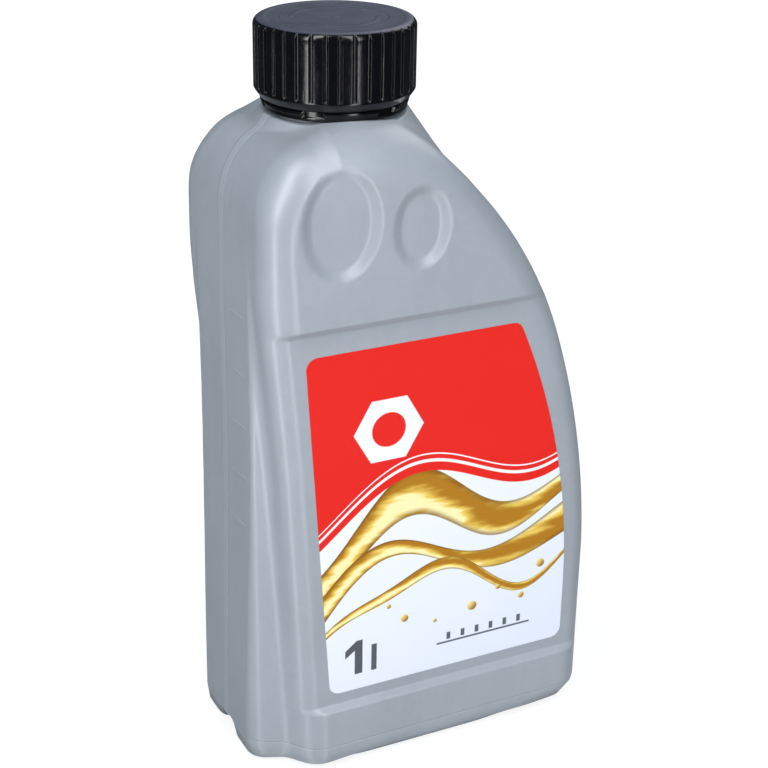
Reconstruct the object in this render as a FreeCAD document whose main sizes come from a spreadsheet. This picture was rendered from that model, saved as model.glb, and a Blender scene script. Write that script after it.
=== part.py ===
import FreeCAD, Part
import math
import os

import Sketcher

# One litre motor oil bottle: a blow-moulded shell with an offset neck, a ribbed screw cap with a
# tamper band and a sealing disc, and a label on the recessed front panel.
# Frame: millimetres, +Z up, the base stands on z = 0 and the neck's axis is the Z axis.
# The front, with the label, faces -Y. The raised end rib, where the hand goes, faces -X.

DIMENSIONS = [
    # whole shell
    ("wall", 0.9, "wall of the shell"),
    ("floor_wall", 1.3, "wall of the base"),
    ("block_half_depth", 33.5, "half depth of the shoulder and of the foot"),
    ("panel_recess", 2.0, "how far the label panels lie behind shoulder and foot"),
    ("block_edge_radius", 9.5, "rounding of the front and back edges of shoulder and foot"),
    ("panel_edge_radius", 9.0, "rounding of the front and back edges at the panels"),
    ("base_edge_radius", 6.0, "rounding where the sides meet the base"),
    ("panel_bottom", 21.5, "height where the label panels begin"),
    ("panel_top", 146.0, "height where the label panels end"),
    # front outline
    ("slab_foot_x", 25.2, "left edge of the main slab at the base, from the neck's axis"),
    ("slab_waist_x", 29.2, "left edge of the slab at its waist, from the neck's axis"),
    ("slab_waist_height", 110.0, "height of that waist"),
    ("slab_bend_height", 158.0, "height where the left edge becomes upright"),
    ("right_x", 75.4, "right end, from the neck's axis"),
    ("right_straight_top", 47.0, "height where the right end begins to curve in"),
    ("right_low_radius", 260.0, "radius of the long curve of the right end"),
    ("right_high_radius", 130.0, "radius of the slope under the neck"),
    ("right_high_centre", 89.3, "height of the centre of the slope's arc"),
    ("shoulder_top", 199.3, "height of the shoulder round the neck"),
    ("shoulder_radius", 25.3, "radius of the left shoulder"),
    ("shoulder_centre_x", 9.6, "centre of the left shoulder, from the neck's axis"),
    ("shoulder_crest", 1.6, "height of the left shoulder's arc that the flat top cuts off"),
    # raised rib on the left end
    ("rib_x", 37.25, "face of the end rib at the base, from the neck's axis"),
    ("rib_lean", 2.2, "how far the rib's face has leant in at its top"),
    ("rib_step", 13.3, "how much narrower each half of the rib's face is than the shoulder"),
    ("rib_flank_angle", 25.4, "angle of the rib's flanks to the X axis"),
    ("rib_edge_radius", 4.5, "rounding of the rib's upright edges"),
    ("rib_sole_radius", 4.2, "rounding where the rib meets the base"),
    ("rib_root_x", 20.0, "where the rib ends inside the slab, from the neck's axis"),
    ("rib_top_drop", 23.3, "how far the rib's top lies below the shoulder's, inside it"),
    # finger dimples in the shoulder
    ("dimple_depth", 1.3, "depth of the finger dimples"),
    ("dimple_slope", 2.6, "width of the dimples' sloping border"),
    ("large_dimple_x", -12.9, "centre of the large dimple"),
    ("large_dimple_height", 176.2, "height of the centre of the large dimple"),
    ("large_dimple_half_width", 12.0, "half width of the large dimple"),
    ("large_dimple_half_height", 16.2, "half height of the large dimple"),
    ("small_dimple_x", 11.4, "centre of the small dimple"),
    ("small_dimple_height", 172.5, "height of the centre of the small dimple"),
    ("small_dimple_half_width", 9.1, "half width of the small dimple"),
    ("small_dimple_half_height", 12.2, "half height of the small dimple"),
    # base
    ("pinch_depth", 2.6, "depth of the channel where the mould pinches the base shut"),
    ("pinch_radius", 24.0, "radius of that channel"),
    # neck
    ("thread_gap", 1.4, "gap between the neck and the cap's skirt, where the threads lie"),
    ("neck_wall", 1.7, "wall of the neck"),
    ("seal_gap", 0.15, "gap between the neck's rim and the sealing disc"),
    ("cone_top_radius", 21.0, "radius of the neck's cone at the shoulder"),
    ("cone_mid_inset", 0.5, "how far inside the shoulder's faces the cone steepens"),
    ("cone_mid_drop", 17.0, "how far below the shoulder's top the cone steepens"),
    ("cone_foot_inset", 5.0, "how far inside the shoulder's faces the cone's foot stays"),
    ("cone_foot_x", 9.0, "how far the cone's foot lies to the right of the neck's axis"),
    ("cone_foot_drop", 31.3, "how far below the shoulder's top the cone ends"),
    ("bead_width", 1.0, "how far the bead that holds the tamper band stands out"),
    ("bead_lift", 2.1, "how far above the shoulder the bead's flat underside lies"),
    ("bead_height", 1.1, "height of the bead's upright face"),
    ("bead_slope", 1.2, "height of the bead's sloping top"),
    # tamper band
    ("band_lift", 1.1, "how far above the shoulder the tamper band begins"),
    ("band_height", 2.6, "height of the tamper band"),
    ("band_wall", 0.8, "wall of the band at its lower edge"),
    ("band_flare", 1.8, "how much wider the band is at its upper edge"),
    ("band_clearance", 0.3, "gap between the band and the neck's bead"),
    ("band_catch", 0.75, "height of the band's catch under the bead"),
    ("catch_gap", 0.45, "gap between the catch and the neck"),
    ("window_height", 1.4, "height of the windows in the band's upper edge"),
    ("window_width", 7.6, "width of each window"),
    ("window_start", 13.5, "angle from the Y axis to the first window"),
    # cap
    ("cap_gap", 0.25, "gap between the cap's edge and the band"),
    ("cap_height", 21.75, "height of the cap"),
    ("cap_radius", 22.75, "radius over the cap's ribs"),
    ("cap_ring_height", 3.0, "height of the plain ring under the ribs"),
    ("cap_rim", 2.2, "width and height of the cap's bevelled top edge"),
    ("cap_rim_step", 0.65, "how far the bevels' shared edge lies in from the side and the top"),
    ("cap_edge_chamfer", 0.5, "chamfer of the cap's lower edge"),
    ("cap_wall", 3.05, "wall of the cap's skirt, over the ribs"),
    ("cap_lid", 2.1, "thickness of the cap's top"),
    ("flute_depth", 0.7, "depth of the flutes between the ribs"),
    ("flute_width", 1.5, "width of the flutes at the ribs' crests"),
    # sealing disc
    ("liner_thickness", 1.5, "thickness of the sealing disc"),
    ("liner_clearance", 0.5, "gap between the disc and the cap's skirt"),
    ("liner_gap", 0.05, "gap between the disc and the cap's lid"),
    # label
    ("label_thickness", 0.15, "thickness of the label"),
    ("label_bottom", 26.0, "height of the label's lower edge"),
    ("label_top", 138.3, "height of the label's upper edge"),
    ("label_left_bottom", 15.3, "lower left corner, from the neck's axis"),
    ("label_left_top", 23.2, "upper left corner, from the neck's axis"),
    ("label_right", 65.4, "lower right edge of the label"),
    ("label_right_top", 45.2, "upper right corner of the label"),
    ("label_right_straight", 45.0, "height where the label's right edge begins to curve in"),
    ("label_right_bow", 8.9, "how far the label's right edge bows out from its chord"),
    ("label_corner", 3.5, "rounding of the label's corners"),
]

FLUTES = 36
WINDOWS = 6

# places that follow from the sizes above
PANEL_HALF = "(Dims.block_half_depth - Dims.panel_recess)"
HOLLOW_HALF = "(Dims.block_half_depth - Dims.dimple_depth)"
SHOULDER_Z = "(Dims.shoulder_top + Dims.shoulder_crest - Dims.shoulder_radius)"
RIB_TOP = "(Dims.shoulder_top - Dims.rib_top_drop)"
RIB_HALF = "(Dims.block_half_depth - Dims.rib_step)"
RIB_REACH = f"(Dims.rib_x - Dims.rib_lean * Dims.rib_sole_radius / {RIB_TOP})"
CONE_MID_RADIUS = "(Dims.block_half_depth - Dims.cone_mid_inset)"
CONE_MID = "(Dims.shoulder_top - Dims.cone_mid_drop)"
CONE_FOOT_RADIUS = "(Dims.block_half_depth - Dims.cone_foot_inset)"
CONE_FOOT = "(Dims.shoulder_top - Dims.cone_foot_drop)"
NECK_RADIUS = "(Dims.cap_radius - Dims.cap_wall - Dims.thread_gap)"
BEAD_RADIUS = f"({NECK_RADIUS} + Dims.bead_width)"
BEAD_BOTTOM = "(Dims.shoulder_top + Dims.bead_lift)"
BAND_BOTTOM = "(Dims.shoulder_top + Dims.band_lift)"
BAND_TOP = "(Dims.shoulder_top + Dims.band_lift + Dims.band_height)"
BAND_INSIDE = f"({BEAD_RADIUS} + Dims.band_clearance)"
CAP_BOTTOM = "(Dims.shoulder_top + Dims.band_lift + Dims.band_height + Dims.cap_gap)"
CAP_TOP = f"({CAP_BOTTOM} + Dims.cap_height)"
CAP_INSIDE = "(Dims.cap_radius - Dims.cap_wall)"
CEILING = f"({CAP_TOP} - Dims.cap_lid)"
LINER_TOP = f"({CEILING} - Dims.liner_gap)"
LINER_BOTTOM = f"({LINER_TOP} - Dims.liner_thickness)"
NECK_TOP = f"({LINER_BOTTOM} - Dims.seal_gap)"


def make_sheet(doc):
    """Put the driving dimensions in a spreadsheet, each under its own name."""
    sheet = doc.addObject("Spreadsheet::Sheet", "Dims")
    for row, (alias, number, note) in enumerate(DIMENSIONS, start=1):
        sheet.set(f"A{row}", alias)
        sheet.set(f"B{row}", str(number))
        sheet.set(f"C{row}", note)
        sheet.setAlias(f"B{row}", alias)
    doc.recompute()
    return sheet


doc = FreeCAD.newDocument("OilBottle")
dims = make_sheet(doc)


def val(alias):
    """Read one dimension from the sheet."""
    return float(dims.get(alias))


def bind(obj, **links):
    """Bind properties of an object to expressions; two underscores stand for a dot."""
    for name, expression in links.items():
        obj.setExpression(name.replace("__", "."), expression)


def plane_of(body, role):
    """Find one of a body's own origin planes."""
    for feature in body.Origin.OriginFeatures:
        if feature.Role == role:
            return feature
    raise RuntimeError("no plane " + role)


def new_sketch(body, name, role):
    sketch = body.newObject("Sketcher::SketchObject", name)
    sketch.AttachmentSupport = [(plane_of(body, role), "")]
    sketch.MapMode = "FlatFace"
    return sketch


def named(sketch, constraint, name, expression):
    """Add a constraint that carries a size, and bind it to the sheet."""
    index = sketch.addConstraint(constraint)
    sketch.renameConstraint(index, name)
    sketch.setExpression("Constraints." + name, expression)


def fillet(body, name, base, edges, radius):
    """Round the listed edges of a feature, with a radius bound to the sheet."""
    feature = body.newObject("PartDesign::Fillet", name)
    feature.Base = (base, edges)
    bind(feature, Radius=radius)
    doc.recompute()
    return feature


def soften(body, name, base, edges, radius, skin):
    """Round a slab's edges; inside the shell a bevel as wide as the rounding does."""
    if not skin:
        return fillet(body, name, base, edges, f"Dims.{radius}")
    feature = body.newObject("PartDesign::Chamfer", name)
    feature.Base = (base, edges)
    bind(feature, Size=f"Dims.{radius} - Dims.wall")
    doc.recompute()
    return feature


def edges_where(feature, test):
    """Names of the edges whose every vertex passes a test."""
    names = []
    for index, edge in enumerate(feature.Shape.Edges, start=1):
        if all(test(vertex.Point) for vertex in edge.Vertexes):
            names.append(f"Edge{index}")
    return names


TOUCH = 1e-4


def double_bend(step, lean_turn):
    """Turn and radius of two equal arcs that bend an upright edge to a lower, leaning one."""
    low, high = lean_turn, math.pi / 2
    for _ in range(60):
        turn = (low + high) / 2
        across = 1 + math.cos(lean_turn) - 2 * math.cos(turn)
        down = 2 * math.sin(turn) - math.sin(lean_turn)
        if across * -step.y < down * step.x:
            low = turn
        else:
            high = turn
    return turn, -step.y / down


def outline_sketch(body, name, skin):
    """Front outline of the bottle's slab, drawn in the XZ plane.

    skin is how far the outline lies inside the shell's outside: zero or the wall.
    """
    sketch = new_sketch(body, name, "XZ_Plane")
    inset = val("wall") if skin else 0.0
    minus = " - Dims.wall" if skin else ""
    plus = " + Dims.wall" if skin else ""
    foot = val("floor_wall") if skin else 0.0
    left = -val("slab_foot_x") + inset
    right = val("right_x") - inset
    low_centre = FreeCAD.Vector(val("right_x") - val("right_low_radius"), val("right_straight_top"), 0)
    low_radius = val("right_low_radius") - inset
    high_radius = val("right_high_radius") - inset
    rise = (val("right_high_centre") - low_centre.y) / (low_radius - high_radius)
    turn = math.asin(rise)
    reach = low_radius - high_radius
    high_centre = low_centre + FreeCAD.Vector(reach * math.cos(turn), reach * math.sin(turn), 0)
    top = val("shoulder_top") - inset
    top_turn = math.asin((top - high_centre.y) / high_radius)
    shoulder = FreeCAD.Vector(-val("shoulder_centre_x"), dims_eval(SHOULDER_Z), 0)
    shoulder_radius = val("shoulder_radius") - inset
    shoulder_start = math.pi - math.asin((top - shoulder.y) / shoulder_radius)

    def on(centre, radius, angle):
        return centre + FreeCAD.Vector(radius * math.cos(angle), radius * math.sin(angle), 0)

    up = FreeCAD.Vector(0, 0, 1)
    corner_a = FreeCAD.Vector(left, foot, 0)
    corner_b = FreeCAD.Vector(right, foot, 0)
    corner_c = FreeCAD.Vector(right, low_centre.y, 0)
    corner_e = on(high_centre, high_radius, top_turn)
    corner_f = on(shoulder, shoulder_radius, shoulder_start)
    corner_g = on(shoulder, shoulder_radius, math.pi)
    corner_h = FreeCAD.Vector(corner_g.x, val("slab_bend_height"), 0)
    corner_i = FreeCAD.Vector(-val("slab_waist_x") + inset, val("slab_waist_height"), 0)
    lean_turn = math.atan2(left - corner_i.x, corner_i.y - foot)
    bow_turn, bow_radius = double_bend(corner_i - corner_h, lean_turn)
    convex_centre = corner_h + FreeCAD.Vector(bow_radius, 0, 0)
    hollow_centre = convex_centre - FreeCAD.Vector(math.cos(bow_turn), math.sin(bow_turn), 0) * 2 * bow_radius
    sketch.addGeometry(Part.LineSegment(corner_a, corner_b))
    sketch.addGeometry(Part.LineSegment(corner_b, corner_c))
    sketch.addGeometry(Part.ArcOfCircle(Part.Circle(low_centre, up, low_radius), 0, turn))
    sketch.addGeometry(Part.ArcOfCircle(Part.Circle(high_centre, up, high_radius), turn, top_turn))
    sketch.addGeometry(Part.LineSegment(corner_e, corner_f))
    shoulder_circle = Part.Circle(shoulder, up, shoulder_radius)
    sketch.addGeometry(Part.ArcOfCircle(shoulder_circle, shoulder_start, math.pi))
    sketch.addGeometry(Part.LineSegment(corner_g, corner_h))
    convex_circle = Part.Circle(convex_centre, up, bow_radius)
    sketch.addGeometry(Part.ArcOfCircle(convex_circle, math.pi, math.pi + bow_turn))
    hollow_circle = Part.Circle(hollow_centre, up, bow_radius)
    sketch.addGeometry(Part.ArcOfCircle(hollow_circle, lean_turn, bow_turn))
    sketch.addGeometry(Part.LineSegment(corner_i, corner_a))
    bottom, side, low, high, crown, bend, upright, convex, waist, lean = range(10)
    start, end, centre = 1, 2, 3
    for first, second in ((bottom, side), (high, crown), (crown, bend), (lean, bottom)):
        sketch.addConstraint(Sketcher.Constraint("Coincident", first, end, second, start))
    for first, second in ((side, low), (low, high), (bend, upright), (upright, convex)):
        sketch.addConstraint(Sketcher.Constraint("Tangent", first, end, second, start))
    # the hollow arc runs the other way round, so its ends are swapped
    sketch.addConstraint(Sketcher.Constraint("Tangent", convex, end, waist, end))
    sketch.addConstraint(Sketcher.Constraint("Tangent", waist, start, lean, start))
    sketch.addConstraint(Sketcher.Constraint("Equal", convex, waist))
    sketch.addConstraint(Sketcher.Constraint("Horizontal", bottom))
    sketch.addConstraint(Sketcher.Constraint("Horizontal", crown))
    sketch.addConstraint(Sketcher.Constraint("Vertical", side))
    if skin:
        named(sketch, Sketcher.Constraint("DistanceY", -1, 1, bottom, start, foot), "foot",
              "Dims.floor_wall")
    else:
        sketch.addConstraint(Sketcher.Constraint("PointOnObject", bottom, start, -1))
    named(sketch, Sketcher.Constraint("DistanceX", bottom, start, -1, 1, -left), "left",
          "Dims.slab_foot_x" + minus)
    named(sketch, Sketcher.Constraint("DistanceX", -1, 1, bottom, end, right), "right",
          "Dims.right_x" + minus)
    named(sketch, Sketcher.Constraint("DistanceY", -1, 1, side, end, low_centre.y), "straight_top",
          "Dims.right_straight_top")
    named(sketch, Sketcher.Constraint("Radius", low, low_radius), "low_radius",
          "Dims.right_low_radius" + minus)
    named(sketch, Sketcher.Constraint("Radius", high, high_radius), "high_radius",
          "Dims.right_high_radius" + minus)
    named(sketch, Sketcher.Constraint("DistanceY", -1, 1, high, centre, high_centre.y), "high_centre",
          "Dims.right_high_centre")
    named(sketch, Sketcher.Constraint("DistanceY", -1, 1, crown, start, top), "crown",
          "Dims.shoulder_top" + minus)
    named(sketch, Sketcher.Constraint("Radius", bend, shoulder_radius), "shoulder_radius",
          "Dims.shoulder_radius" + minus)
    named(sketch, Sketcher.Constraint("DistanceX", bend, centre, -1, 1, -shoulder.x), "shoulder_x",
          "Dims.shoulder_centre_x")
    named(sketch, Sketcher.Constraint("DistanceY", -1, 1, bend, centre, shoulder.y), "shoulder_height",
          SHOULDER_Z)
    named(sketch, Sketcher.Constraint("DistanceY", -1, 1, upright, end, corner_h.y), "bend_height",
          "Dims.slab_bend_height")
    named(sketch, Sketcher.Constraint("DistanceY", -1, 1, lean, start, corner_i.y), "waist_height",
          "Dims.slab_waist_height")
    named(sketch, Sketcher.Constraint("DistanceX", lean, start, -1, 1, -corner_i.x), "waist_x",
          "Dims.slab_waist_x" + minus)
    return sketch


def slab(name, half_depth, edge_radius, skin):
    """The outline padded to both sides of the parting plane, with its long edges rounded."""
    minus = " - Dims.wall" if skin else ""
    body = doc.addObject("PartDesign::Body", name)
    sketch = outline_sketch(body, name + "Outline", skin)
    pad = body.newObject("PartDesign::Pad", name + "Pad")
    pad.Profile = sketch
    pad.SideType = "Symmetric"
    bind(pad, Length=f"2 * ({half_depth}{minus})")
    doc.recompute()
    half = dims_eval(half_depth + minus)
    foot = val("floor_wall") if skin else 0.0
    rims = edges_where(pad, lambda p: abs(abs(p.y) - half) < TOUCH)
    soles = edges_where(pad, lambda p: abs(p.z - foot) < TOUCH)
    rims = [edge for edge in rims if edge not in soles]
    rounded = soften(body, name + "Rims", pad, rims, edge_radius, skin)
    soles = edges_where(rounded, lambda p: abs(p.z - foot) < TOUCH)
    soften(body, name + "Soles", rounded, soles, "base_edge_radius", skin)
    return body


def end_rib(name, skin):
    """The upright rib on the left end: a trapezoid in plan, wider towards the slab."""
    minus = " - Dims.wall" if skin else ""
    inset = val("wall") if skin else 0.0
    foot = val("floor_wall") if skin else 0.0
    face = -val("rib_x") + inset
    root = -val("rib_root_x")
    half = dims_eval(RIB_HALF) - inset
    root_half = half + (root - face) * math.tan(math.radians(val("rib_flank_angle")))
    body = doc.addObject("PartDesign::Body", name)
    sketch = new_sketch(body, name + "Plan", "XY_Plane")
    corners = [(face, -half), (root, -root_half), (root, root_half), (face, half)]
    points = [FreeCAD.Vector(x, y, 0) for x, y in corners]
    for index, point in enumerate(points):
        sketch.addGeometry(Part.LineSegment(point, points[(index + 1) % 4]))
    flank, back, far_flank, front = range(4)
    start, end = 1, 2
    for index in range(4):
        sketch.addConstraint(Sketcher.Constraint("Coincident", index, end, (index + 1) % 4, start))
    sketch.addConstraint(Sketcher.Constraint("Vertical", back))
    sketch.addConstraint(Sketcher.Constraint("Symmetric", front, start, front, end, -1))
    sketch.addConstraint(Sketcher.Constraint("Equal", flank, far_flank))
    named(sketch, Sketcher.Constraint("DistanceX", flank, start, -1, 1, -face), "face",
          "Dims.rib_x" + minus)
    named(sketch, Sketcher.Constraint("DistanceX", back, start, -1, 1, -root), "root",
          "Dims.rib_root_x")
    named(sketch, Sketcher.Constraint("DistanceY", front, end, front, start, 2 * half), "width",
          f"2 * ({RIB_HALF}{minus})")
    named(sketch, Sketcher.Constraint("DistanceY", back, start, back, end, 2 * root_half), "root_width",
          f"2 * ({RIB_HALF}{minus} + (Dims.rib_x{minus} - Dims.rib_root_x)"
          " * tan(Dims.rib_flank_angle))")
    if skin:
        bind(sketch, AttachmentOffset__Base__z="Dims.floor_wall")
    pad = body.newObject("PartDesign::Pad", name + "Pad")
    pad.Profile = sketch
    pad.UseCustomVector = True
    pad.AlongSketchNormal = True
    bind(pad, Direction__x="Dims.rib_lean", Direction__y="0", Direction__z=RIB_TOP)
    bind(pad, Length=RIB_TOP + minus + (" - Dims.floor_wall" if skin else ""))
    doc.recompute()
    uprights = edges_where(pad, lambda p: abs(abs(p.y) - half) < TOUCH)
    level = edges_where(pad, lambda p: abs(p.z - foot) < TOUCH)
    high = edges_where(pad, lambda p: abs(p.z - pad.Shape.BoundBox.ZMax) < TOUCH)
    uprights = [edge for edge in uprights if edge not in level + high]
    rounded = soften(body, name + "Edges", pad, uprights, "rib_edge_radius", skin)
    soles = edges_where(rounded, lambda p: abs(p.z - foot) < TOUCH)
    behind = edges_where(rounded, lambda p: abs(p.x - root) < TOUCH)
    soles = [edge for edge in soles if edge not in behind]
    soften(body, name + "Soles", rounded, soles, "rib_sole_radius", skin)
    return body


def box(name, **links):
    """A box placed by its lowest corner, all bound to the sheet."""
    shape = doc.addObject("Part::Box", name)
    bind(shape, **links)
    return shape


def cone(name, low_radius, high_radius, bottom, top):
    shape = doc.addObject("Part::Cone", name)
    bind(shape, Radius1=low_radius, Radius2=high_radius, Height=f"({top}) - ({bottom})")
    bind(shape, Placement__Base__z=bottom)
    return shape


def cylinder(name, radius, bottom, top):
    shape = doc.addObject("Part::Cylinder", name)
    bind(shape, Radius=radius, Height=f"({top}) - ({bottom})", Placement__Base__z=bottom)
    return shape


def fuse(name, shapes):
    result = doc.addObject("Part::MultiFuse", name)
    result.Shapes = shapes
    return result


def cut(name, base, tool):
    result = doc.addObject("Part::Cut", name)
    result.Base = base
    result.Tool = tool
    return result


def loft(name, sections):
    """A solid with straight sides from one closed section to the next."""
    result = doc.addObject("Part::Loft", name)
    result.Sections = sections
    result.Solid = True
    result.Ruled = True
    return result


def dimple(name, which, side):
    """A recessed oval with a sloping border; side is -1 for the front and 1 for the back."""
    steep = "(Dims.dimple_slope / Dims.dimple_depth)"
    ovals = []
    # the outer oval lies a little outside the face, so that the two don't coincide
    for tag, lift in (("Floor", "0"), ("Mouth", "1.25 * Dims.dimple_depth")):
        oval = doc.addObject("Part::Ellipse", name + tag)
        size = f" - Dims.dimple_slope + {lift} * {steep}"
        # the oval's long axis is upright
        bind(oval, MajorRadius=f"Dims.{which}_half_height{size}")
        bind(oval, MinorRadius=f"Dims.{which}_half_width{size}")
        oval.Placement.Rotation = FreeCAD.Rotation(
            FreeCAD.Vector(0, 0, 1), FreeCAD.Vector(1, 0, 0), FreeCAD.Vector(0, 1, 0), "XYZ")
        bind(oval, Placement__Base__x=f"Dims.{which}_x", Placement__Base__z=f"Dims.{which}_height")
        bind(oval, Placement__Base__y=f"{side} * (Dims.block_half_depth - Dims.dimple_depth + {lift})")
        ovals.append(oval)
    return loft(name, ovals)


def shell_form(tag, skin):
    """The closed form of the bottle without its neck: its outside, or the hollow inside it."""
    plus = " + Dims.wall" if skin else ""
    minus = " - Dims.wall" if skin else ""
    # the hollow is thinner than the block, to stay clear of the dimples' floors
    depth = HOLLOW_HALF if skin else "Dims.block_half_depth"
    block = slab(tag + "Block", depth, "block_edge_radius", skin)
    core = slab(tag + "Core", PANEL_HALF, "panel_edge_radius", skin)

    def waist(name):
        return box(
            name,
            Length="Dims.right_x + Dims.rib_x + 20",
            Width="4 * Dims.block_half_depth",
            Height=f"Dims.panel_top - Dims.panel_bottom + 2 * (0{plus})",
            Placement__Base__x="-Dims.rib_x - 10",
            Placement__Base__y="-2 * Dims.block_half_depth",
            Placement__Base__z=f"Dims.panel_bottom{minus}",
        )

    ends = cut(tag + "Ends", block, waist(tag + "WaistGap"))
    middle = doc.addObject("Part::Common", tag + "Middle")
    middle.Base = core
    middle.Tool = waist(tag + "Waist")
    rib = end_rib(tag + "Rib", skin)
    cone_high = cone(tag + "ConeHigh", CONE_MID_RADIUS + minus, f"Dims.cone_top_radius{minus}",
                     CONE_MID + minus, f"Dims.shoulder_top{minus}")
    rings = []
    for word, radius, place, height in (("Mid", CONE_MID_RADIUS, "0", CONE_MID),
                                        ("Foot", CONE_FOOT_RADIUS, "Dims.cone_foot_x", CONE_FOOT)):
        ring = doc.addObject("Part::Circle", tag + "ConeRing" + word)
        bind(ring, Radius=radius + minus, Placement__Base__x=place, Placement__Base__z=height + minus)
        rings.append(ring)
    cone_low = loft(tag + "ConeLow", rings)
    whole = fuse(tag + "Whole", [ends, middle, rib, cone_high, cone_low])
    dimples = []
    for which, word in (("large_dimple", "LargeDimple"), ("small_dimple", "SmallDimple")):
        # the hollow stays clear of the dimples by its smaller depth
        if not skin:
            dimples.append(dimple(word + "Front", which, -1))
            dimples.append(dimple(word + "Back", which, 1))
    pinch = doc.addObject("Part::Cylinder", tag + "Pinch")
    pinch.Placement.Rotation = FreeCAD.Rotation(FreeCAD.Vector(0, 1, 0), 90)
    bind(pinch, Radius=f"Dims.pinch_radius{plus}", Height="Dims.right_x + Dims.rib_x + 20")
    bind(pinch, Placement__Base__x="-Dims.rib_x - 10",
         Placement__Base__z="Dims.pinch_depth - Dims.pinch_radius" + (" + Dims.floor_wall - Dims.wall" if skin else ""))
    recesses = fuse(tag + "Recesses", dimples + [pinch]) if dimples else pinch
    return cut(tag + "Form", whole, recesses)


def make_bottle():
    outside = shell_form("Out", skin=False)
    hollow = shell_form("In", skin=True)
    neck = cylinder("Neck", NECK_RADIUS, "Dims.shoulder_top - Dims.wall", NECK_TOP)
    bead_top = BEAD_BOTTOM + " + Dims.bead_height"
    bead = cylinder("Bead", BEAD_RADIUS, BEAD_BOTTOM, bead_top)
    bead_slope = cone("BeadSlope", BEAD_RADIUS, NECK_RADIUS, bead_top, bead_top + " + Dims.bead_slope")
    solid = fuse("BottleSolid", [outside, neck, bead, bead_slope])
    bore = cylinder("Bore", NECK_RADIUS + " - Dims.neck_wall",
                    "Dims.shoulder_top - 2 * Dims.wall - 4", NECK_TOP + " + 2")
    inside = fuse("BottleInside", [hollow, bore])
    bottle = cut("Bottle", solid, inside)
    bottle.Label = "bottle"
    return bottle


def revolved(name, points, role="XZ_Plane"):
    """A body turned about the Z axis from a profile of (radius, height) expressions."""
    body = doc.addObject("PartDesign::Body", name)
    sketch = new_sketch(body, name + "Profile", role)
    numbers = [(dims_eval(radius), dims_eval(height)) for radius, height in points]
    vectors = [FreeCAD.Vector(radius, height, 0) for radius, height in numbers]
    count = len(vectors)
    for index, vector in enumerate(vectors):
        sketch.addGeometry(Part.LineSegment(vector, vectors[(index + 1) % count]))
    for index in range(count):
        sketch.addConstraint(Sketcher.Constraint("Coincident", index, 2, (index + 1) % count, 1))
    for index, (radius, height) in enumerate(points):
        if numbers[index][0] < TOUCH:
            sketch.addConstraint(Sketcher.Constraint("PointOnObject", index, 1, -2))
        else:
            named(sketch, Sketcher.Constraint("DistanceX", -1, 1, index, 1, numbers[index][0]),
                  f"radius{index}", radius)
        named(sketch, Sketcher.Constraint("DistanceY", -1, 1, index, 1, numbers[index][1]),
              f"height{index}", height)
    turned = body.newObject("PartDesign::Revolution", name + "Turned")
    turned.Profile = sketch
    turned.ReferenceAxis = (sketch, ["V_Axis"])
    turned.Angle = 360
    doc.recompute()
    return body, turned


def dims_eval(expression):
    """Work out an expression of the sheet's names as a number."""
    return float(dims.evalExpression(expression))


def make_band():
    """Tamper band: stays under the neck's bead, with windows in its upper edge."""
    catch = NECK_RADIUS + " + Dims.catch_gap"
    outside = BAND_INSIDE + " + Dims.band_wall"
    body, turned = revolved("BandBody", [
        (catch, BAND_BOTTOM),
        (outside, BAND_BOTTOM),
        (outside + " + Dims.band_flare", BAND_TOP),
        (BAND_INSIDE, BAND_TOP),
        (BAND_INSIDE, BAND_BOTTOM + " + Dims.band_catch"),
        (catch, BAND_BOTTOM + " + Dims.band_catch"),
    ])
    windows = []
    for index in range(WINDOWS):
        window = doc.addObject("Part::Box", f"Window{index}")
        bind(window, Length="Dims.window_width", Width="Dims.cap_radius", Height="2 * Dims.window_height")
        turn = f"Dims.window_start + {index} * 360 / {WINDOWS}"
        window.Placement.Rotation = FreeCAD.Rotation(FreeCAD.Vector(0, 0, 1), 1)
        bind(window, Placement__Rotation__Angle=turn)
        bind(window, Placement__Base__x=f"-Dims.window_width / 2 * cos({turn})",
             Placement__Base__y=f"-Dims.window_width / 2 * sin({turn})",
             Placement__Base__z=BAND_TOP + " - Dims.window_height")
        windows.append(window)
    band = cut("Band", body, fuse("Windows", windows))
    band.Label = "tamper_band"
    return band


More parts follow.
